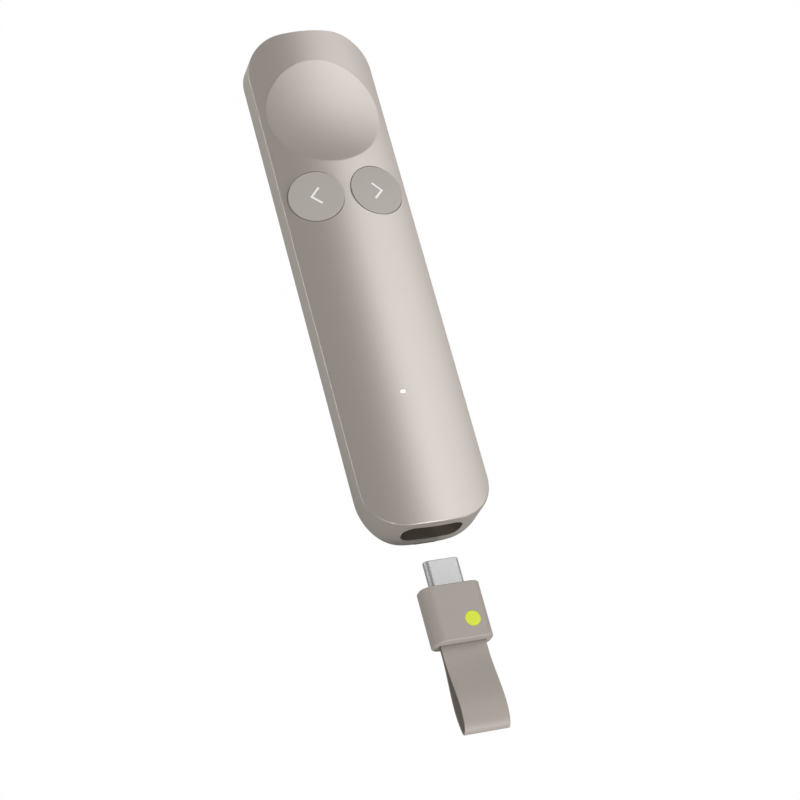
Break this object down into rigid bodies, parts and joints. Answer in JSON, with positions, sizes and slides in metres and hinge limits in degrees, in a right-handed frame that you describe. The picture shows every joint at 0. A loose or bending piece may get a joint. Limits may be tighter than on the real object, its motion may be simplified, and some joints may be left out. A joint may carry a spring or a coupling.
{
  "type": "presentation clicker",
  "caption": "Slim hand-held presentation clicker with a dished thumb button, two keys, a status light, a tail dock and a plug-in receiver on a loop strap.",
  "frame": {"origin": "on the flat of the back that the clicker rests on, half way along the body and on its centre line", "axes": "+X across the body to the right, seen from the front with the dish end up; +Y along the body from the tail to the dish end; +Z out of the front face"},
  "size_m": [0.0304, 0.1748, 0.0129],
  "materials": {
    "cover_lacquer": "satin sand lacquer with a metallic sheen",
    "key_plastic": "matte sand",
    "chevron_white": "matte white",
    "light_lens": "milky clear",
    "led_white": "gloss",
    "chassis_plastic": "fine matte black",
    "dock_plastic": "matte dark brown",
    "board": "satin green solder mask",
    "chip_black": "fine matte black",
    "switch_plastic": "matte ivory",
    "thin_steel": "satin plated sheet",
    "screw_steel": "plain steel",
    "plug_metal": "satin nickel plate",
    "battery_foil": "satin foil pouch",
    "lead_rubber": "soft insulation",
    "receiver_plastic": "fine matte sand",
    "strap_rubber": "matte sand",
    "dot_lime": "smooth lime"
  },
  "bodies": {
    "clicker": {"top_cover": "cover_lacquer", "back_cover": "cover_lacquer", "chassis": "chassis_plastic", "main_board": "board", "dish_switch": "chip_black", "back_switch": "chip_black", "next_switch": "chip_black", "light_pipe": "light_lens", "status_led": "led_white", "radio_shield": "thin_steel", "control_chip": "chip_black", "motion_sensor": "chip_black", "antenna": "switch_plastic", "vibration_motor": "thin_steel", "battery": "battery_foil", "battery_tape": "switch_plastic", "battery_connector": "switch_plastic", "battery_leads": "lead_rubber", "dock_sleeve": "dock_plastic", "usb_socket_shell": "thin_steel", "usb_socket_tongue": "chip_black", "screws": "screw_steel"},
    "dish": {"dish_button": "cover_lacquer", "dish_plunger": "switch_plastic"},
    "back_key": {"back_button": "key_plastic", "back_chevron": "chevron_white", "back_plunger": "switch_plastic"},
    "next_key": {"next_button": "key_plastic", "next_chevron": "chevron_white", "next_plunger": "switch_plastic"},
    "receiver": {"receiver_housing": "receiver_plastic", "receiver_face": "receiver_plastic", "receiver_dot": "dot_lime", "plug_shell": "plug_metal", "plug_insert": "chip_black", "receiver_board": "board", "receiver_chip": "chip_black", "strap": "strap_rubber", "strap_pin": "screw_steel"}
  },
  "joints": [
    {"name": "dish_press", "type": "slide", "parent": "clicker", "child": "dish", "axis": [0, 0, -1], "range_m": [0, 0.0003], "stiffness_N_per_m": 6600},
    {"name": "back_press", "type": "slide", "parent": "clicker", "child": "back_key", "axis": [0, 0, -1], "range_m": [0, 0.00035], "stiffness_N_per_m": 4300},
    {"name": "next_press", "type": "slide", "parent": "clicker", "child": "next_key", "axis": [0, 0, -1], "range_m": [0, 0.00035], "stiffness_N_per_m": 4300},
    {"name": "receiver_slide", "type": "slide", "parent": "clicker", "child": "receiver", "axis": [0, 1, 0], "range_m": [0, 0.02665]}
  ]
}
